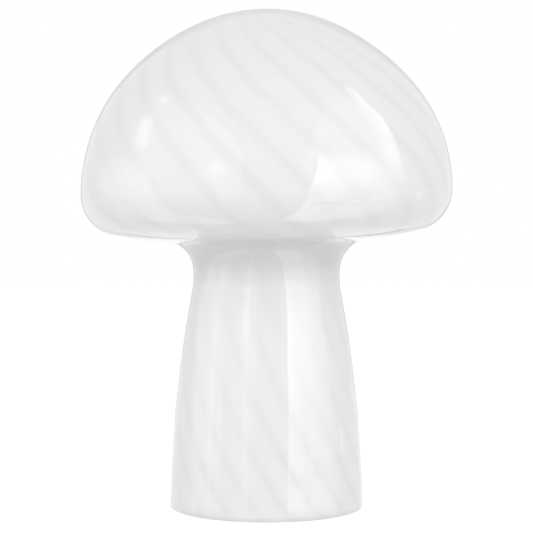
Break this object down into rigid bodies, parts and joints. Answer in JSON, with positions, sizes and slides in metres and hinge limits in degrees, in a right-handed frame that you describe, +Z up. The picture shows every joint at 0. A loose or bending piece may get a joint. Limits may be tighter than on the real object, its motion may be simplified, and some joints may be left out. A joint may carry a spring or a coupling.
{
  "type": "mushroom table lamp",
  "caption": "Mushroom table lamp: a blown cased-glass cap and stem in one piece that lifts off a sprung holder with a screw-in bulb.",
  "frame": {"origin": "middle of the foot on the table", "axes": "+Z up along the lamp's axis, +Y to the back, where the cord hole is, +X to the right seen from the front"},
  "size_m": [0.2234, 0.2234, 0.3],
  "materials": {
    "cased_glass": "white opal glass under a clear glossy skin",
    "clear_plastic": "clear moulded",
    "soft_washer": "matte",
    "spring_steel": "rolled",
    "soft_sleeve": "matte",
    "zinc_steel": "bright zinc",
    "holder_plastic": "white moulded",
    "ceramic": "unglazed steatite",
    "nickel_brass": "nickel plated",
    "contact_brass": "bright",
    "solder": "tinned",
    "opal_plastic": "satin opal",
    "bulb_plastic": "white moulded",
    "black_insulator": "glassy black",
    "led_board": "white lacquered aluminium",
    "driver_board": "lacquered board"
  },
  "bodies": {
    "fitting": {"tripod_bracket": "spring_steel", "leg_sleeve_1": "soft_sleeve", "leg_sleeve_2": "soft_sleeve", "leg_sleeve_3": "soft_sleeve", "threaded_nipple": "zinc_steel", "nipple_lock_washer": "zinc_steel", "nipple_lock_nut": "zinc_steel", "holder_cap": "holder_plastic", "holder_skirt": "holder_plastic", "holder_insert": "ceramic", "holder_screw_shell": "nickel_brass", "holder_centre_contact": "contact_brass", "holder_side_contact": "contact_brass", "terminal_screws": "zinc_steel"},
    "glass": {"cased_glass": "cased_glass", "cord_bush": "clear_plastic", "bush_washer": "soft_washer", "bush_nut": "clear_plastic"},
    "bulb_contact": {"bulb_tip_contact": "solder"},
    "bulb": {"bulb_tube": "opal_plastic", "bulb_collar": "bulb_plastic", "bulb_screw_cap": "nickel_brass", "bulb_insulator": "black_insulator", "bulb_led_board": "led_board", "bulb_driver_board": "driver_board"}
  },
  "joints": [
    {"name": "glass_lift", "type": "slide", "parent": "fitting", "child": "glass", "axis": [0, 0, 1], "range_m": [0, 0.225]},
    {"name": "bulb_lift", "type": "slide", "parent": "fitting", "child": "bulb_contact", "axis": [0, 0, 1], "range_m": [0, 0.01454]},
    {"name": "bulb_turn", "type": "hinge", "parent": "bulb_contact", "child": "bulb", "pos_m": [0, 0, 0.118], "axis": [0, 0, 1], "range_deg": [0, 1440]}
  ],
  "couplings": [
    {"joint": "bulb_lift", "follows": "bulb_turn", "m_per_rad": 0.00057757}
  ]
}
